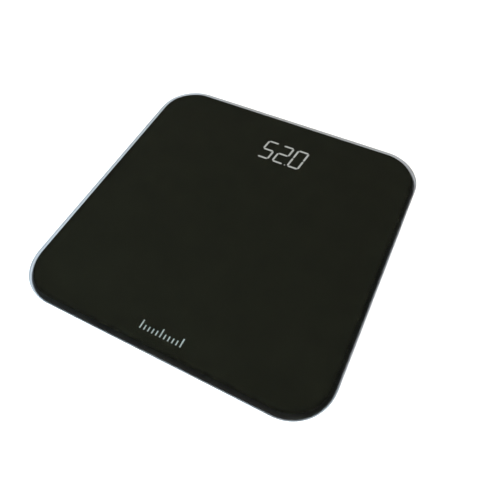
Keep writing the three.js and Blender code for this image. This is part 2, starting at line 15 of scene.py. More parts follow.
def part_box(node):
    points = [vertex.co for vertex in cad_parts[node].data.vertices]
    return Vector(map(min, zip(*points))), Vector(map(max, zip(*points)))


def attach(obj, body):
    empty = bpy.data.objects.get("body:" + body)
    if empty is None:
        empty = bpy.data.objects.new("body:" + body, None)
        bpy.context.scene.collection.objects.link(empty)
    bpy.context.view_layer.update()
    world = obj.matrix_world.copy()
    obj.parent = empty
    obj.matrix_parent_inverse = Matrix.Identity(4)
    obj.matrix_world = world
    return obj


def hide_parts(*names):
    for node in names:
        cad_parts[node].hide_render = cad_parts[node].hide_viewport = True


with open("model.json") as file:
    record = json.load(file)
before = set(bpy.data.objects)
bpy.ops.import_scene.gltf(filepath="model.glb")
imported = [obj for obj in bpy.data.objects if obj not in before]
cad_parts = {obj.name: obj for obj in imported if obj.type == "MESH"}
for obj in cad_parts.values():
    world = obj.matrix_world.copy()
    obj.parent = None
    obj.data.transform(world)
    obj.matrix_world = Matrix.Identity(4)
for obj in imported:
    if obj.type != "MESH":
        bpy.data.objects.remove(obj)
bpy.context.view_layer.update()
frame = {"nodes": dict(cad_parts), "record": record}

MM = 0.001
BASE = "base"
FEET = ["front_left", "front_right", "rear_left", "rear_right"]


def box_mm(node):
    low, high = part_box(node)
    return low / MM, high / MM


def centre_mm(node):
    low, high = box_mm(node)
    return (low + high) / 2


# ---------------------------------------------------------------- materials


def node_after(tree, kind, source):
    """A new node whose first input comes from source."""
    made = tree.nodes.new(kind)
    tree.links.new(source, made.inputs[0])
    return made


def principled(name):
    material = bpy.data.materials.new(name)
    material.use_nodes = True
    return material, material.node_tree, material.node_tree.nodes["Principled BSDF"]


def noise(tree, scale, detail=4.0, stretch=(1, 1, 1)):
    """A noise value over the shared frame, with scale features per metre."""
    coords = tree.nodes.new("ShaderNodeTexCoord")
    mapping = tree.nodes.new("ShaderNodeMapping")
    mapping.inputs["Scale"].default_value = stretch
    tree.links.new(coords.outputs["Object"], mapping.inputs["Vector"])
    texture = tree.nodes.new("ShaderNodeTexNoise")
    texture.inputs["Scale"].default_value = scale
    texture.inputs["Detail"].default_value = detail
    tree.links.new(mapping.outputs["Vector"], texture.inputs["Vector"])
    return texture.outputs["Fac"]


def spread(tree, value, low, high, start=0.3, end=0.7):
    """value, remapped so that its usual range of start to end becomes low to high."""
    made = tree.nodes.new("ShaderNodeMapRange")
    for socket, number in (("From Min", start), ("From Max", end), ("To Min", low), ("To Max", high)):
        made.inputs[socket].default_value = number
    tree.links.new(value, made.inputs["Value"])
    return made.outputs["Result"]


def blend_colours(tree, factor, first, second):
    made = tree.nodes.new("ShaderNodeMix")
    made.data_type = "RGBA"
    made.inputs["A"].default_value = (*first, 1)
    made.inputs["B"].default_value = (*second, 1)
    tree.links.new(factor, made.inputs["Factor"])
    return made.outputs["Result"]


def shade(colour, factor):
    return tuple(min(1.0, c * factor) for c in colour)


def bump(tree, height, depth):
    """The normal over a relief that is depth millimetres deep."""
    made = tree.nodes.new("ShaderNodeBump")
    made.inputs["Distance"].default_value = depth * MM
    tree.links.new(height, made.inputs["Height"])
    return made.outputs["Normal"]


COLOUR_DRIFT = 45  # features per metre, as are the next three
GLOSS_DRIFT = 160
SMUDGES = 25
FINE_DRIFT = 300
GLOSS_VARY = 0.12


def moulded(name, colour, roughness, grain=1800, depth=0.02, vary=0.12, metallic=0.0, stretch=(1, 1, 1),
            specular=0.5):
    """A solid whose colour and gloss drift a little, over a fine grain depth millimetres deep."""
    material, tree, shader = principled(name)
    drift = spread(tree, noise(tree, COLOUR_DRIFT), 0, 1)
    colours = blend_colours(tree, drift, shade(colour, 1 - vary), shade(colour, 1 + vary))
    tree.links.new(colours, shader.inputs["Base Color"])
    dull, shiny = roughness * (1 + GLOSS_VARY), roughness * (1 - GLOSS_VARY)
    tree.links.new(spread(tree, noise(tree, GLOSS_DRIFT), shiny, dull), shader.inputs["Roughness"])
    fine = noise(tree, grain, 2.0, stretch)
    tree.links.new(bump(tree, fine, depth), shader.inputs["Normal"])
    shader.inputs["Metallic"].default_value = metallic
    shader.inputs["Specular IOR Level"].default_value = specular
    return material


def clear_glass(name, tint, roughness, smudge, ior=1.5):
    """Glass that bends what is behind it, and lets the lamps' light through to it.

    Smudges make its roughness up to smudge more.
    """
    material, tree, shader = principled(name)
    shader.inputs["Base Color"].default_value = (*tint, 1)
    shader.inputs["Transmission Weight"].default_value = 1.0
    shader.inputs["IOR"].default_value = ior
    gloss = spread(tree, noise(tree, SMUDGES), roughness, roughness + smudge)
    tree.links.new(gloss, shader.inputs["Roughness"])
    lamps = tree.nodes.new("ShaderNodeBsdfTransparent")
    lamps.inputs["Color"].default_value = (*tint, 1)
    path = tree.nodes.new("ShaderNodeLightPath")
    mix = tree.nodes.new("ShaderNodeMixShader")
    tree.links.new(path.outputs["Is Shadow Ray"], mix.inputs["Fac"])
    tree.links.new(shader.outputs["BSDF"], mix.inputs[1])
    tree.links.new(lamps.outputs["BSDF"], mix.inputs[2])
    tree.links.new(mix.outputs["Shader"], tree.nodes["Material Output"].inputs["Surface"])
    return material


def glowing(name, colour, strength):
    """Lit from behind, and a little uneven along its length."""
    material, tree, shader = principled(name)
    shader.inputs["Base Color"].default_value = (*shade(colour, 0.02), 1)
    shader.inputs["Emission Color"].default_value = (*colour, 1)
    shader.inputs["Roughness"].default_value = 0.5
    shader.inputs["Specular IOR Level"].default_value = 0.0
    level = spread(tree, noise(tree, FINE_DRIFT), strength * 0.9, strength * 1.05)
    tree.links.new(level, shader.inputs["Emission Strength"])
    return material


BAND_ENDS = (-9.5, -4.0)  # across the frame's X
BAND_BLUR = 0.5


def cell_label(name, colour, band):
    """A printed sleeve: a plain colour with a pale band, over fine lengthwise wrinkles."""
    material, tree, shader = principled(name)
    coords = tree.nodes.new("ShaderNodeTexCoord")
    split = node_after(tree, "ShaderNodeSeparateXYZ", coords.outputs["Object"])
    start, end = BAND_ENDS
    after_start = spread(tree, split.outputs["X"], 0, 1, start * MM, (start + BAND_BLUR) * MM)
    before_end = spread(tree, split.outputs["X"], 1, 0, end * MM, (end + BAND_BLUR) * MM)
    both = node_after(tree, "ShaderNodeMath", after_start)
    both.operation = "MULTIPLY"
    tree.links.new(before_end, both.inputs[1])
    colours = blend_colours(tree, both.outputs[0], colour, band)
    tree.links.new(colours, shader.inputs["Base Color"])
    tree.links.new(spread(tree, noise(tree, 400), 0.25, 0.4), shader.inputs["Roughness"])
    wrinkles = noise(tree, 250, 2.0, (0.2, 1, 1))
    tree.links.new(bump(tree, wrinkles, 0.02), shader.inputs["Normal"])
    return material


def circuit_board(name):
    """Green solder mask over fine copper traces."""
    material, tree, shader = principled(name)
    coords = tree.nodes.new("ShaderNodeTexCoord")
    traces = node_after(tree, "ShaderNodeTexBrick", coords.outputs["Object"])
    greens = {"Color1": (0.006, 0.085, 0.03), "Color2": (0.008, 0.1, 0.035), "Mortar": (0.03, 0.2, 0.07)}
    for socket, green in greens.items():
        traces.inputs[socket].default_value = (*green, 1)
    traces.inputs["Scale"].default_value = 220
    traces.inputs["Mortar Size"].default_value = 0.06
    tree.links.new(traces.outputs["Color"], shader.inputs["Base Color"])
    tree.links.new(spread(tree, noise(tree, FINE_DRIFT), 0.3, 0.45), shader.inputs["Roughness"])
    tree.links.new(bump(tree, traces.outputs["Fac"], 0.03), shader.inputs["Normal"])
    return material


POLISHED = clear_glass("polished_glass", (0.97, 1.0, 0.99), 0.0, 0.012)
GROUND = clear_glass("ground_glass_edge", (0.315, 0.33, 0.352), 0.5, 0.12, 1.12)
PRINT = moulded("black_print", (0.0049, 0.0049, 0.0029), 0.5, grain=3000, depth=0.002, specular=0.0)
COAT = moulded("back_coat", (0.014, 0.014, 0.014), 0.45, grain=1500, depth=0.004)
TICK_INK = moulded("grey_ink", (0.18, 0.195, 0.185), 0.5, grain=3000, depth=0.002, vary=0.05, specular=0.0)
LIT = glowing("lit_segment", (1.0, 1.0, 0.95), 0.42)
BLACK_ABS = moulded("black_abs", (0.012, 0.0125, 0.0135), 0.5)
GREY_ABS = moulded("grey_abs", (0.05, 0.053, 0.06), 0.45)
RUBBER = moulded("rubber", (0.010, 0.010, 0.010), 0.8, grain=900, depth=0.05, vary=0.25)
FOAM = moulded("foam_tape", (0.62, 0.62, 0.58), 0.95, grain=1500, depth=0.12, vary=0.1)
STEEL = moulded("stamped_steel", (0.42, 0.44, 0.46), 0.32, 700, 0.01, 0.08, 1.0, (1, 12, 1))
NICKEL = moulded("nickel_plate", (0.62, 0.64, 0.65), 0.22, 900, 0.006, 0.06, 1.0)
SCREW_STEEL = moulded("screw_steel", (0.30, 0.31, 0.33), 0.3, 900, 0.008, 0.1, 1.0)
SLEEVE_GREY = moulded("sleeve_grey", (0.09, 0.095, 0.10), 0.55, grain=1200, depth=0.03)
SLEEVE_RED = moulded("sleeve_red", (0.38, 0.012, 0.008), 0.45, grain=1200, depth=0.02)
BOARD = circuit_board("circuit_board")
WHITE_BLOCK = moulded("white_block", (0.75, 0.75, 0.71), 0.5, vary=0.05)
SMOKED = moulded("smoked_film", (0.004, 0.004, 0.005), 0.15, grain=600, depth=0.002)
LABEL = cell_label("cell_label", (0.03, 0.12, 0.28), (0.55, 0.56, 0.55))
FLOOR = moulded("pale_floor", (0.92, 0.92, 0.915), 0.7, grain=120, depth=0.02, vary=0.01)

# ---------------------------------------------------------------- shapes


def circle(radius, z, x=0.0, y=0.0, steps=96):
    angles = [2 * math.pi * i / steps for i in range(steps)]
    return [Vector((x + radius * math.cos(a), y + radius * math.sin(a), z)) for a in angles]


def arc(x, z, radius, start, end, steps):
    """Points on a circle about (x, z), from start to end degrees."""
    angles = [math.radians(start + (end - start) * i / steps) for i in range(steps + 1)]
    return [(x + radius * math.cos(a), z + radius * math.sin(a)) for a in angles]


def rounded(width, depth, radius, z, x=0.0, y=0.0, steps=12):
    """A rectangle's outline with round corners, anticlockwise."""
    points = []
    for quarter, (sx, sy) in enumerate([(1, 1), (-1, 1), (-1, -1), (1, -1)]):
        cx, cy = x + sx * (width / 2 - radius), y + sy * (depth / 2 - radius)
        for i in range(steps + 1):
            a = (quarter + i / steps) * math.pi / 2
            points.append(Vector((cx + radius * math.cos(a), cy + radius * math.sin(a), z)))
    return points


def loft(bm, loops, closed=False, materials=None):
    """Skins a run of equal loops. The ends are capped, or the last loop is joined to the first.

    materials has a slot number for each band between two loops.
    """
    rings = [[bm.verts.new(p) for p in loop] for loop in loops]
    pairs = list(zip(rings, rings[1:]))
    if closed:
        pairs.append((rings[-1], rings[0]))
    faces = []
    for band, (a, b) in enumerate(pairs):
        for i in range(len(a)):
            j = (i + 1) % len(a)
            face = bm.faces.new((a[i], a[j], b[j], b[i]))
            face.material_index = materials[band] if materials else 0
            faces.append(face)
    if not closed:
        faces += [bm.faces.new(list(reversed(rings[0]))), bm.faces.new(rings[-1])]
    bmesh.ops.recalc_face_normals(bm, faces=faces)


def loft_box(bm, x0, x1, y0, y1, z0, z1):
    corners = [(x0, y0), (x1, y0), (x1, y1), (x0, y1)]
    loft(bm, [[Vector((x, y, z)) for x, y in corners] for z in (z0, z1)])


def solid(name, build):
    """An object from what build(bm) makes in millimetres."""
    bm = bmesh.new()
    build(bm)
    bmesh.ops.scale(bm, vec=(MM, MM, MM), verts=bm.verts)
    mesh = bpy.data.meshes.new(name)
    bm.to_mesh(mesh)
    bm.free()
    obj = bpy.data.objects.new(name, mesh)
    bpy.context.scene.collection.objects.link(obj)
    return obj


def lofted(name, loops, closed=False, materials=None):
    return solid(name, lambda bm: loft(bm, loops, closed, materials))


def box_solid(name, x0, x1, y0, y1, z0, z1):
    return solid(name, lambda bm: loft_box(bm, x0, x1, y0, y1, z0, z1))


def turned(name, profile, x=0.0, y=0.0, closed=False, steps=96):
    """A solid turned about a vertical axis from [radius, z] points."""
    return lofted(name, [circle(r, z, x, y, steps) for r, z in profile], closed)


def disc(name, radius, z0, z1, x, y, steps=40):
    return turned(name, [(radius, z0), (radius, z1)], x, y, steps=steps)


def rod_along_x(name, radius, x0, x1, y, z):
    steps = 32
    angles = [2 * math.pi * i / steps for i in range(steps)]
    ring = [(y + radius * math.cos(a), z + radius * math.sin(a)) for a in angles]
    return lofted(name, [[Vector((x, py, pz)) for py, pz in ring] for x in (x0, x1)])


def turn_about(obj, x, y, angle):
    """Turns obj's mesh about the vertical through x, y."""
    centre = Vector((x, y, 0)) * MM
    turn = Matrix.Translation(centre) @ Matrix.Rotation(angle, 4, "Z") @ Matrix.Translation(-centre)
    obj.data.transform(turn)
    return obj


def combine(obj, tools, operation):
    """Joins or cuts obj with each tool in turn, and takes the tools away."""
    for tool in tools:
        modifier = obj.modifiers.new("combine", "BOOLEAN")
        modifier.operation = operation
        modifier.solver = "EXACT"
        modifier.object = tool
    depsgraph = bpy.context.evaluated_depsgraph_get()
    mesh = bpy.data.meshes.new_from_object(obj.evaluated_get(depsgraph))
    obj.modifiers.clear()
    old, obj.data = obj.data, mesh
    mesh.name = obj.name
    bpy.data.meshes.remove(old)
    for tool in tools:
        bpy.data.meshes.remove(tool.data)
    return obj


def join(obj, *tools):
    return combine(obj, tools, "UNION")


def cut(obj, *tools):
    return combine(obj, tools, "DIFFERENCE")


CAP_CORNERS = 8  # a face with more corners than this is a flat cap
CREASE = 32  # degrees: a sharper edge is shaded crisp
BEVEL_FROM = 35  # degrees: a sharper edge can be rounded off


def smooth(obj):
    """Smooth shading, with flat caps and crisp creases."""
    bm = bmesh.new()
    bm.from_mesh(obj.data)
    for face in bm.faces:
        face.smooth = len(face.verts) <= CAP_CORNERS
    for edge in bm.edges:
        if len(edge.link_faces) == 2:
            edge.smooth = edge.calc_face_angle(0) < math.radians(CREASE)
    bm.to_mesh(obj.data)
    bm.free()


def soften(obj, width):
    """Rounds off sharp edges by width millimetres."""
    modifier = obj.modifiers.new("soften", "BEVEL")
    modifier.width = width * MM
    modifier.segments = 2
    modifier.limit_method = "ANGLE"
    modifier.angle_limit = math.radians(BEVEL_FROM)
    modifier.harden_normals = True


def finish_piece(obj, body, slot, *materials, replaced=(), soft=0.0):
    """Gives a piece its looks, its body and the CAD nodes that it replaces."""
    for material in materials:
        obj.data.materials.append(material)
    smooth(obj)
    if soft:
        soften(obj, soft)
    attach(obj, body)
    if replaced:
        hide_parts(*replaced)
    return obj


def dress(node, material, soft=0.0):
    """A CAD node keeps its shape and gets its looks."""
    obj = frame["nodes"][node]
    obj.data.materials.clear()
    obj.data.materials.append(material)
    if soft:
        soften(obj, soft)


# ---------------------------------------------------------------- glass platform

GLASS_LOW, GLASS_HIGH = box_mm("glass_platform")
SIDE = GLASS_HIGH.x - GLASS_LOW.x
CORNER_R = 40.0
CORNER_STEPS = 24
BEVEL = (4.7, 1.4)  # of the top edge, across and down
BEVEL_KNEE = (0.35, 0.4)  # where it bends: a share of the way in, and of the way down
BACK_ARRIS = 1.3
COAT_BASE = -0.1  # from the back of the glass, as are the next three
COAT_TOP = -0.03
MARK_BASE = 0.14  # digits and ticks lie just above the printed back, inside the glass
MARK_TOP = 0.2
ON_EDGE, ON_BACK = 1, 2  # material slots of the slab, after the top's


def platform_loop(inset, z):
    side = SIDE - 2 * inset
    return rounded(side, side, CORNER_R - inset, z, steps=CORNER_STEPS)


def make_glass():
    low, high = GLASS_LOW.z, GLASS_HIGH.z
    (across, down), (knee_in, knee_down) = BEVEL, BEVEL_KNEE
    profile = [(BACK_ARRIS, low), (0, low + BACK_ARRIS), (0, high - down)]
    profile += [(across * knee_in, high - down * knee_down), (across, high)]
    loops = [platform_loop(inset, z) for inset, z in profile]
    glass = lofted("glass_slab", loops, materials=[ON_EDGE] * (len(loops) - 1))
    for face in glass.data.polygons:
        if len(face.vertices) > CAP_CORNERS and face.normal.z < 0:
            face.material_index = ON_BACK
    return finish_piece(glass, BASE, "black_glass", POLISHED, GROUND, PRINT, replaced=["glass_platform"])


def make_back_coat():
    """The satin coat that covers the print, seen from below."""
    loops = [platform_loop(BACK_ARRIS, GLASS_LOW.z + z) for z in (COAT_BASE, COAT_TOP)]
    return finish_piece(lofted("back_coat", loops), BASE, "black_glass", COAT)


make_glass()
make_back_coat()

# ---------------------------------------------------------------- digits and ticks

DISPLAY_CENTRE = centre_mm("display_block")
DIGIT_PITCH = 17.5
DIGIT_WIDTH = 11.7
DIGIT_HEIGHT = 24.8
SLANT = 0.12  # sideways lean per millimetre of height
STROKE = 2.0
UPRIGHT_GAP = 0.4  # between the ends of two bars
LEVEL_GAP = 0.7
READING = ["", "5", "2.", "0"]
LIT_SEGMENTS = {"5": "afgcd", "2": "abged", "0": "abcdef"}
HALF_W, HALF_H = DIGIT_WIDTH / 2, DIGIT_HEIGHT / 2
SEGMENTS = {
    "a": (0, HALF_H, 0), "g": (0, 0, 0), "d": (0, -HALF_H, 0),
    "f": (-HALF_W, HALF_H / 2, 1), "b": (HALF_W, HALF_H / 2, 1),
    "e": (-HALF_W, -HALF_H / 2, 1), "c": (HALF_W, -HALF_H / 2, 1),
}
POINT_PLACE = (8.6, -12.7)  # from the middle of the digit before it
POINT_R = 0.65


def leaning(x, y, z, centre):
    """A place in an upright digit, moved to where the leaning digit has it."""
    return Vector((centre.x + x + SLANT * y, centre.y + y, z))


def segment_loop(x, y, upright, z, centre):
    """A bar with pointed ends."""
    length = HALF_H - UPRIGHT_GAP if upright else DIGIT_WIDTH - LEVEL_GAP
    h, w = length / 2, STROKE / 2
    points = [(h, 0), (h - w, w), (w - h, w), (-h, 0), (w - h, -w), (h - w, -w)]
    if upright:
        points = [(-b, a) for a, b in points]
    return [leaning(x + a, y + b, z, centre) for a, b in points]


def make_digits():
    base, top = GLASS_LOW.z + MARK_BASE, GLASS_LOW.z + MARK_TOP

    def build(bm):
        for place, text in enumerate(READING):
            centre = DISPLAY_CENTRE + Vector(((place - (len(READING) - 1) / 2) * DIGIT_PITCH, 0, 0))
            for key in LIT_SEGMENTS.get(text[:1], ""):
                loft(bm, [segment_loop(*SEGMENTS[key], z, centre) for z in (base, top)])
            if text.endswith("."):
                point = leaning(*POINT_PLACE, 0, centre)
                loft(bm, [circle(POINT_R, z, point.x, point.y, 20) for z in (base, top)])

    return finish_piece(solid("lit_digits", build), BASE, "display_white", LIT)


TICKS = {"x": -1.1, "y": -129.6, "count": 11, "pitch": 4.0, "width": 1.2, "tall": 8.0, "short": 4.5}
TICKS_PER_TALL = 5


def make_ticks():
    base, top = GLASS_LOW.z + MARK_BASE, GLASS_LOW.z + MARK_TOP

    def build(bm):
        foot_y = TICKS["y"] - TICKS["tall"] / 2
        for i in range(TICKS["count"]):
            x = TICKS["x"] + (i - (TICKS["count"] - 1) / 2) * TICKS["pitch"]
            height = TICKS["short"] if i % TICKS_PER_TALL else TICKS["tall"]
            half = TICKS["width"] / 2
            loft_box(bm, x - half, x + half, foot_y, foot_y + height, base, top)

    return finish_piece(solid("front_ticks", build), BASE, "display_white", TICK_INK)


make_digits()
make_ticks()

# ---------------------------------------------------------------- load-cell feet

# [radius, z] from the hollow's roof, down and out round the rim, and up to the flange.
HOUSING_PROFILE = [
    (23.4, 15.3), (23.4, 7.1), (24.4, 7.1), (24.4, 5.0), (25.7, 5.0), (26.15, 5.12), (26.4, 5.45),
    (26.5, 5.9), (27.0, 14.2), (27.15, 14.75), (27.5, 15.1), (28.1, 15.3), (28.4, 15.45), (28.5, 15.7),
    (28.5, 16.6),
]
RING_PROFILE = [(19.2, 5.7), (19.35, 5.35), (19.7, 5.2), (23.9, 5.2), (24.1, 5.4), (24.1, 6.8), (19.2, 6.8)]
# The stud on top ends 0.3 lower than the CAD foot's, so that it clears the load cell as the foot moves up.
FOOT_PROFILE = [
    (16.6, 2.6), (16.6, 1.4), (17.7, 1.4), (18.2, 1.55), (18.5, 1.85), (18.6, 2.3), (18.6, 7.1), (21.8, 7.1),
    (21.8, 8.6), (6.5, 8.6), (5.5, 9.9),
]
TREAD = {"grooves": 4, "first": 2.0, "pitch": 3.55, "width": 1.85, "slope": 0.25, "depth": 0.5}
PAD_SIDE = [(15.6, 0.0), (16.05, 0.12), (16.3, 0.5), (16.3, 2.3)]
TAPE_HOLE_R = 8.0
# "start" and "end" are distances from the foot's axis.
LEAD_SLOT = {"start": 20.0, "end": 31.0, "half": 2.4, "low": 12.2, "high": 15.3}
RING_NOTCH = {"start": 21.2, "end": 25.0, "half": 1.5, "low": 4.0, "high": 6.0}
NOTCH_ANGLES = (60, 180, 300)  # from the lead's direction


def pad_profile():
    """Grooves of tread across the sole, then the pad's side."""
    points = []
    for i in range(TREAD["grooves"]):
        start = TREAD["first"] + TREAD["pitch"] * i
        end = start + TREAD["width"]
        points += [(start, 0.0), (start + TREAD["slope"], TREAD["depth"])]
        points += [(end - TREAD["slope"], TREAD["depth"]), (end, 0.0)]
    return points + PAD_SIDE


def radial_cutter(name, size, x, y, angle):
    """A box that points away from x, y at angle."""
    x0, x1 = x + size["start"], x + size["end"]
    y0, y1 = y - size["half"], y + size["half"]
    return turn_about(box_solid(name, x0, x1, y0, y1, size["low"], size["high"]), x, y, angle)


def lead_angle(foot):
    """The direction in which a foot's lead leaves it, from its middle to the middle of its cover."""
    middle, cover = centre_mm(f"foot_pad_{foot}"), centre_mm(f"lead_cover_{foot}")
    return math.atan2(cover.y - middle.y, cover.x - middle.x)


def make_foot(foot):
    centre = centre_mm(f"foot_pad_{foot}")
    x, y, angle = centre.x, centre.y, lead_angle(foot)
    body = f"foot_{foot}"

    cup = turned(f"cup_{foot}", HOUSING_PROFILE, x, y)
    slot = radial_cutter("slot", LEAD_SLOT, x, y, angle)
    finish_piece(cut(cup, slot), BASE, "black_abs", BLACK_ABS, replaced=[f"foot_housing_{foot}"])

    ring = turned(f"ring_{foot}", RING_PROFILE, x, y, closed=True)
    notches = [radial_cutter("notch", RING_NOTCH, x, y, angle + math.radians(a)) for a in NOTCH_ANGLES]
    finish_piece(cut(ring, *notches), BASE, "grey_abs", GREY_ABS, replaced=[f"foot_ring_{foot}"])

    puck = turned(f"puck_{foot}", FOOT_PROFILE, x, y)
    finish_piece(puck, body, "black_abs", BLACK_ABS, replaced=[f"foot_{foot}"])
    pad = turned(f"pad_{foot}", pad_profile(), x, y)
    finish_piece(pad, body, "rubber", RUBBER, replaced=[f"foot_pad_{foot}"])

    low, high = box_mm(f"pod_tape_{foot}")
    outer = (high.x - low.x) / 2
    band = [(TAPE_HOLE_R, low.z), (outer, low.z), (outer, high.z), (TAPE_HOLE_R, high.z)]
    tape = turned(f"tape_{foot}", band, x, y, closed=True)
    finish_piece(tape, BASE, "foam", FOAM, replaced=[f"pod_tape_{foot}"])

    dress(f"load_cell_{foot}", STEEL, 0.25)
    dress(f"lead_cover_{foot}", BLACK_ABS, 0.35)
    dress(f"load_cell_lead_{foot}", SLEEVE_GREY)


for foot in FEET:
    make_foot(foot)

# ---------------------------------------------------------------- electronics module

SHELL_LOW, SHELL_HIGH = box_mm("module_shell")
MODULE_CENTRE = (SHELL_LOW + SHELL_HIGH) / 2
MODULE_W, MODULE_D = SHELL_HIGH.x - SHELL_LOW.x, SHELL_HIGH.y - SHELL_LOW.y
MODULE_R = 12.0
SHELL_EDGE_R = 1.5
SHELL_FLOOR = 5.0
SHELL_TOP = 14.5
WALL = 1.8
FLANGE_GAP = 0.3  # between the shell and the frame
RIM = 6.0
TAPE_INSET = 0.6

JOINTS = {joint["name"]: joint for joint in frame["record"]["behaviour"]["joints"]}
HINGE_PLACE = JOINTS["battery_door_hinge"]["pos_m"]
HINGE_Y, HINGE_Z = HINGE_PLACE[1] / MM, HINGE_PLACE[2] / MM
HINGE_X = 18.0  # of the hinge's two arms, to the left and right
# "before", "behind" and "above" are from the hinge's axis, or from the tub's front for the latch.
HINGE_BLOCK = {"half": 7.0, "before": 2.0, "behind": 2.6, "top": 7.4}
HINGE_NOTCH = {"half": 4.0, "y0": 70.6, "behind": 1.7, "above": 1.8}
PIN_HOLE = {"radius": 1.1, "half": 5.2}

TUB = {"x": 28.0, "y0": 35.0, "y1": 71.0, "roof": 15.6, "side_wall": 3.0, "end_wall": 3.5, "roof_thick": 0.7}
DOORWAY = {"x": 29.5, "y0": 33.0, "y1": 73.0}
LATCH_SLOT = {"x": 7.0, "before": 2.6, "behind": 0.5, "low": 4.5, "high": 11.0}
DIP_Y = 33.3  # a fingertip's dip at the front edge of the door
DIP = [(10.2, -1.0), (9.0, 0.0), (8.0, 0.9)]  # [radius, height over the shell's base]

BUTTON = centre_mm("unit_button")
BUTTON_HOLE = {"radius": 4.3, "top": 6.0}
BUTTON_FACE = [(1.5, 0.42), (2.6, 0.3), (3.2, 0.06), (3.5, 0.0), (3.85, 0.12), (4.0, 0.45)]
BUTTON_R = 4.0
COLLAR = {"radius": 5.2, "height": 0.8}

SCREWS = {place: centre_mm(f"module_screw_{place}") for place in FEET}
BOSS = {"radius": 4.6, "top": 8.0}
SHANK_HOLE = {"radius": 1.7, "top": 9.0}
COUNTERBORE = {"radius": 3.3, "top": 6.2, "flare": 0.3, "chamfer": 0.2}
PILLAR = {"radius": 4.2, "root": 1.0}
PILOT = {"radius": 1.35, "top": 14.2, "start": 0.3}
SCREW_HEAD = [(1.9, 0.0), (2.45, 0.16), (2.78, 0.5), (2.9, 0.9), (2.9, 1.5)]  # [radius, height over its face]
SHANK_R = 1.05
SCREW_TIP = {"radius": 0.4, "length": 0.8}
CROSS = {"reach": 1.55, "half": 0.3, "depth": 0.9}
FIRST_TURN, NEXT_TURN = 20, 31  # degrees: no two screws stop at the same angle

# A "root" is how far a feature reaches into what it grows from.
OVERLAP = 0.2  # the same, for what stands on the shell's floor
CLEAR = 1.0  # how far a cutter reaches past a face
SKIM = 0.01  # the same, past the shell's floor, where the tub's walls stand on it


def module_loop(inset, z):
    width, depth = MODULE_W - 2 * inset, MODULE_D - 2 * inset
    return rounded(width, depth, MODULE_R - inset, z, MODULE_CENTRE.x, MODULE_CENTRE.y)


def shell_additions():
    """The battery tub, the hinge's blocks and the screws' bosses, all up from the shell's floor."""
    x, low = TUB["x"] + TUB["side_wall"], SHELL_FLOOR - OVERLAP
    y0, y1 = TUB["y0"] - TUB["end_wall"], TUB["y1"] + TUB["end_wall"]
    added = [box_solid("tub", -x, x, y0, y1, low, TUB["roof"] + TUB["roof_thick"])]
    y0, y1 = HINGE_Y - HINGE_BLOCK["before"], HINGE_Y + HINGE_BLOCK["behind"]
    for side in (-HINGE_X, HINGE_X):
        x0, x1 = side - HINGE_BLOCK["half"], side + HINGE_BLOCK["half"]
        added.append(box_solid("block", x0, x1, y0, y1, low, HINGE_BLOCK["top"]))
    for screw in SCREWS.values():
        added.append(disc("boss", BOSS["radius"], low, BOSS["top"], screw.x, screw.y))
    return added


def shell_cutters():
    """The battery space with its doorway and latch, the finger's dip, and the holes."""
    base = SHELL_LOW.z
    below = base - CLEAR
    x, y0, y1 = TUB["x"], TUB["y0"], TUB["y1"]
    removed = [box_solid("cells", -x, x, y0, y1, below, TUB["roof"])]
    x = DOORWAY["x"]
    removed.append(box_solid("doorway", -x, x, DOORWAY["y0"], DOORWAY["y1"], below, SHELL_FLOOR + SKIM))
    x, front, rear = LATCH_SLOT["x"], y0 - LATCH_SLOT["before"], y0 + LATCH_SLOT["behind"]
    removed.append(box_solid("latch", -x, x, front, rear, LATCH_SLOT["low"], LATCH_SLOT["high"]))
    removed.append(turned("dip", [(r, base + height) for r, height in DIP], 0, DIP_Y))
    removed.append(disc("button_hole", BUTTON_HOLE["radius"], below, BUTTON_HOLE["top"], BUTTON.x, BUTTON.y))
    front, rear, top = HINGE_NOTCH["y0"], HINGE_Y + HINGE_NOTCH["behind"], HINGE_Z + HINGE_NOTCH["above"]
    for side in (-HINGE_X, HINGE_X):
        x0, x1 = side - HINGE_NOTCH["half"], side + HINGE_NOTCH["half"]
        removed.append(box_solid("notch", x0, x1, front, rear, below, top))
        x0, x1 = side - PIN_HOLE["half"], side + PIN_HOLE["half"]
        removed.append(rod_along_x("pin_hole", PIN_HOLE["radius"], x0, x1, HINGE_Y, HINGE_Z))
    radius, flare, top = COUNTERBORE["radius"], COUNTERBORE["flare"], COUNTERBORE["top"]
    bore = [(radius + flare, base - flare), (radius, base + COUNTERBORE["chamfer"]), (radius, top)]
    for screw in SCREWS.values():
        removed.append(disc("shank_hole", SHANK_HOLE["radius"], below, SHANK_HOLE["top"], screw.x, screw.y))
        removed.append(turned("counterbore", bore, screw.x, screw.y, steps=40))
    return removed


def make_shell():
    outside = arc(SHELL_EDGE_R, SHELL_LOW.z + SHELL_EDGE_R, SHELL_EDGE_R, 270, 180, 4)
    profile = outside + [(0, SHELL_TOP), (WALL, SHELL_TOP), (WALL, SHELL_FLOOR)]
    shell = lofted("shell", [module_loop(inset, z) for inset, z in profile])
    for tool in shell_additions():
        join(shell, tool)
    for tool in shell_cutters():
        cut(shell, tool)
    return finish_piece(shell, BASE, "black_abs", BLACK_ABS, replaced=["module_shell"])


def make_frame():
    low, high = box_mm("module_frame")
    flange = SHELL_TOP + FLANGE_GAP
    corners = [(0, flange), (0, high.z), (RIM, high.z), (RIM, flange)]
    rim = lofted("rim", [module_loop(inset, z) for inset, z in corners], closed=True)
    for screw in SCREWS.values():
        join(rim, disc("pillar", PILLAR["radius"], low.z, flange + PILLAR["root"], screw.x, screw.y))
        below = low.z - PILOT["start"]
        cut(rim, disc("pilot", PILOT["radius"], below, PILOT["top"], screw.x, screw.y, 24))
    return finish_piece(rim, BASE, "black_abs", BLACK_ABS, replaced=["module_frame"])


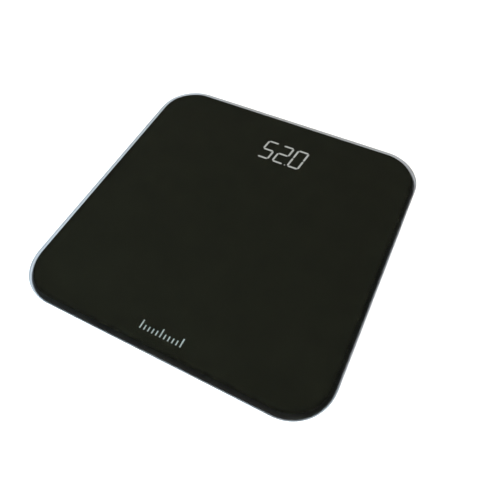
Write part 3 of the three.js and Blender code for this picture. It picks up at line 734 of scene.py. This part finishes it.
def make_module_tape():
    low, high = box_mm("module_tape")
    outer, inner = TAPE_INSET, RIM - TAPE_INSET
    corners = [(outer, low.z), (outer, high.z), (inner, high.z), (inner, low.z)]
    tape = lofted("tape_module", [module_loop(inset, z) for inset, z in corners], closed=True)
    return finish_piece(tape, BASE, "foam", FOAM, replaced=["module_tape"])


def make_screw(place):
    """A pan head with a cross recess, under a plain shank that narrows to its tip."""
    centre = SCREWS[place]
    x, y = centre.x, centre.y
    low, high = box_mm(f"module_screw_{place}")
    face, tip = low.z, high.z - SCREW_TIP["length"]
    head = [(r, face + height) for r, height in SCREW_HEAD]
    profile = head + [(SHANK_R, head[-1][1]), (SHANK_R, tip), (SCREW_TIP["radius"], high.z)]
    screw = turned(f"screw_{place}", profile, x, y, steps=48)
    turn = math.radians(FIRST_TURN + NEXT_TURN * FEET.index(place))
    reach, half, depth = CROSS["reach"], CROSS["half"], face + CROSS["depth"]
    for angle in (turn, turn + math.pi / 2):
        cross = box_solid("cross", x - reach, x + reach, y - half, y + half, face - CLEAR, depth)
        cut(screw, turn_about(cross, x, y, angle))
    return finish_piece(screw, BASE, "nickel", SCREW_STEEL, replaced=[f"module_screw_{place}"])


def make_button():
    """A dished face, with a collar inside the shell that keeps the button in its hole."""
    low, high = box_mm("unit_button")
    collar = high.z - COLLAR["height"]
    profile = [(r, low.z + height) for r, height in BUTTON_FACE]
    profile += [(BUTTON_R, collar), (COLLAR["radius"], collar), (COLLAR["radius"], high.z)]
    button = turned("button_cap", profile, BUTTON.x, BUTTON.y, steps=64)
    return finish_piece(button, "unit_button", "grey_abs", GREY_ABS, replaced=["unit_button"])


make_shell()
make_frame()
make_module_tape()
for place in FEET:
    make_screw(place)
make_button()
dress("main_board", BOARD, 0.15)
dress("display_block", WHITE_BLOCK)
dress("display_film", SMOKED)
dress("unit_switch", STEEL, 0.15)

# ---------------------------------------------------------------- battery door and cells

DOOR_LOW, DOOR_HIGH = box_mm("battery_door")
DOOR_TOP = 4.8
DOOR_REAR = 72.7
DOOR_SLOPE = 1.0  # of its rear face, which clears the doorway as the door turns
ARM = {"half": 3.5, "low": 3.75, "root": 2.0}
KNUCKLE_R = 1.25
PIN = {"radius": 0.8, "half": 4.9}
LEAF = {"x": 5.5, "y0": 34.0, "y1": 35.1, "root": 0.5}
GRIP = {"count": 6, "first": 3.5, "pitch": 1.8, "half": 0.4, "depth": 0.35, "reach": 9.5, "narrowing": 0.9}


def make_door():
    low, front = DOOR_LOW.z, DOOR_LOW.y
    side = [(front, low), (DOOR_REAR, low), (DOOR_REAR - DOOR_SLOPE, DOOR_TOP), (front, DOOR_TOP)]
    ends = (-DOOR_HIGH.x, DOOR_HIGH.x)
    door = lofted("door", [[Vector((x, y, z)) for y, z in side] for x in ends])
    half, root = ARM["half"], DOOR_REAR - ARM["root"]
    for hx in (-HINGE_X, HINGE_X):
        join(door, box_solid("arm", hx - half, hx + half, root, HINGE_Y, ARM["low"], DOOR_TOP))
        join(door, rod_along_x("knuckle", KNUCKLE_R, hx - half, hx + half, HINGE_Y, HINGE_Z))
        join(door, rod_along_x("pin", PIN["radius"], hx - PIN["half"], hx + PIN["half"], HINGE_Y, HINGE_Z))
    half, root = LEAF["x"], DOOR_TOP - LEAF["root"]
    join(door, box_solid("leaf", -half, half, LEAF["y0"], LEAF["y1"], root, DOOR_HIGH.z))
    for i in range(GRIP["count"]):
        y = front + GRIP["first"] + GRIP["pitch"] * i
        reach = GRIP["reach"] - GRIP["narrowing"] * i
        y0, y1 = y - GRIP["half"], y + GRIP["half"]
        cut(door, box_solid("groove", -reach, reach, y0, y1, low - CLEAR, low + GRIP["depth"]))
    return finish_piece(door, "battery_door", "black_abs", BLACK_ABS, replaced=["battery_door"], soft=0.15)


SLEEVE, CAN = 0, 1  # material slots of a cell


def make_cell(number):
    """A steel can in a printed sleeve, with its nub at the positive end."""
    node = f"battery_{number}"
    low, high = box_mm(node)
    centre = (low + high) / 2
    half = (high.x - low.x) / 2
    radius = (high.z - low.z) / 2
    towards = 1 if number % 2 else -1
    base = [(radius - 0.9, -half), (radius - 0.35, 0.08 - half)]
    side = [(radius, 0.5 - half), (radius, half - 1.4), (radius - 0.12, half - 1.05)]
    shoulder = [(radius - 0.5, half - 0.8), (radius - 1.1, half - 0.78)]
    nub = [(1.95, half - 0.8), (1.9, half - 0.12), (1.75, half)]
    loops = []
    for r, along in base + side + shoulder + nub:
        ring = circle(r, 0, steps=48)
        loops.append([Vector((centre.x + towards * along, centre.y + p.x, centre.z + p.y)) for p in ring])
    bands = [CAN] * len(base) + [SLEEVE] * len(side) + [CAN] * (len(shoulder) + len(nub) - 1)
    cell = lofted(f"cell_{number}", loops, materials=bands)
    finish_piece(cell, BASE, "cell_label", LABEL, NICKEL, replaced=[node])
    for face in cell.data.polygons:
        if len(face.vertices) > 4:
            face.material_index = CAN


make_door()
for number in (1, 2, 3):
    make_cell(number)
for contact in ("negative", "link_left", "link_right", "positive"):
    dress(f"contact_{contact}", NICKEL)
dress("battery_lead_negative", SLEEVE_GREY)
dress("battery_lead_positive", SLEEVE_RED)

# ---------------------------------------------------------------- floor, light and camera

FLOOR_R = 2200.0
COVE_R = 400.0
WALL_TOP = 1300.0
WALL_THICK = 50.0
FLOOR_DROP = 0.1  # so that the feet don't share a plane with the floor


def make_floor():
    """A round pale floor that curves up into a low wall."""
    inner, outer = FLOOR_R + COVE_R, FLOOR_R + COVE_R + WALL_THICK
    cove = arc(FLOOR_R, COVE_R, COVE_R, 270, 360, 12)
    profile = cove + [(inner, WALL_TOP), (outer, WALL_TOP), (outer, -WALL_THICK)]
    floor = turned("floor", profile)
    floor.location.z = -FLOOR_DROP * MM
    floor.data.materials.append(FLOOR)
    smooth(floor)


def add_sun(name, azimuth, elevation, strength, spread_deg):
    """A soft white light from far away. azimuth is anticlockwise from +X."""
    light = bpy.data.lights.new(name, "SUN")
    light.energy = strength
    light.angle = math.radians(spread_deg)
    lamp = bpy.data.objects.new(name, light)
    a, e = math.radians(azimuth), math.radians(elevation)
    towards = Vector((math.cos(a) * math.cos(e), math.sin(a) * math.cos(e), math.sin(e)))
    lamp.rotation_mode = "QUATERNION"
    lamp.rotation_quaternion = towards.to_track_quat("Z", "Y")
    lamp.location = towards * 2
    bpy.context.scene.collection.objects.link(lamp)


def add_softbox(name, place, aim, size, watts, colour):
    """A rectangular light at place, in metres, facing aim. It lights the scene without being in view."""
    light = bpy.data.lights.new(name, "AREA")
    light.shape = "RECTANGLE"
    light.size, light.size_y = size
    light.energy = watts
    light.color = colour
    lamp = bpy.data.objects.new(name, light)
    lamp.rotation_mode = "QUATERNION"
    lamp.rotation_quaternion = (Vector(place) - Vector(aim)).to_track_quat("Z", "Y")
    lamp.location = place
    lamp.visible_camera = False
    bpy.context.scene.collection.objects.link(lamp)


def add_world(colour, strength):
    world = bpy.data.worlds.new("studio")
    world.use_nodes = True
    background = world.node_tree.nodes["Background"]
    background.inputs["Color"].default_value = (*colour, 1)
    background.inputs["Strength"].default_value = strength
    bpy.context.scene.world = world


# Fitted to the outline of the platform in the photograph. azimuth is to the right of straight in front.
CAMERA = {"azimuth": 28.17, "elevation": 58.34, "roll": -2.22, "distance": 418.1, "lens": 32.24}
CAMERA_TARGET = Vector((30.8, -24.7, GLASS_HIGH.z))
FILM_WIDTH = 36


def add_camera():
    a, e, roll = (math.radians(CAMERA[key]) for key in ("azimuth", "elevation", "roll"))
    back = Vector((math.sin(a) * math.cos(e), -math.cos(a) * math.cos(e), math.sin(e)))
    right = Vector((math.cos(a), math.sin(a), 0))
    up = back.cross(right)
    across = right * math.cos(roll) + up * math.sin(roll)
    upright = up * math.cos(roll) - right * math.sin(roll)
    data = bpy.data.cameras.new("camera")
    data.sensor_width = FILM_WIDTH
    data.lens = CAMERA["lens"]
    data.clip_start = 10 * MM
    camera = bpy.data.objects.new("camera", data)
    turn = Matrix((across, upright, back)).transposed().to_4x4()
    place = (CAMERA_TARGET + back * CAMERA["distance"]) * MM
    camera.matrix_world = Matrix.Translation(place) @ turn
    bpy.context.scene.collection.objects.link(camera)
    bpy.context.scene.camera = camera


make_floor()
add_world((0.97, 0.98, 1.0), 0.06)
add_sun("key", azimuth=-60, elevation=62, strength=3.8, spread_deg=14)
COOL, COOLER, WARM = (0.72, 0.88, 1.0), (0.58, 0.82, 1.0), (1.0, 0.85, 0.62)
LEFT, FRONT, BACK = (-0.75, -0.30, 0.30), (-0.35, -0.95, 0.35), (-0.25, 1.20, 0.36)
add_softbox("left_light", LEFT, aim=(-0.15, -0.10, 0.02), size=(0.5, 0.3), watts=6, colour=COOL)
add_softbox("front_light", FRONT, aim=(-0.05, -0.15, 0.02), size=(0.5, 0.3), watts=13, colour=COOLER)
add_softbox("back_light", BACK, aim=(0.0, 0.15, 0.02), size=(0.6, 0.15), watts=7, colour=WARM)
add_camera()
bpy.context.scene.view_settings.view_transform = "Standard"
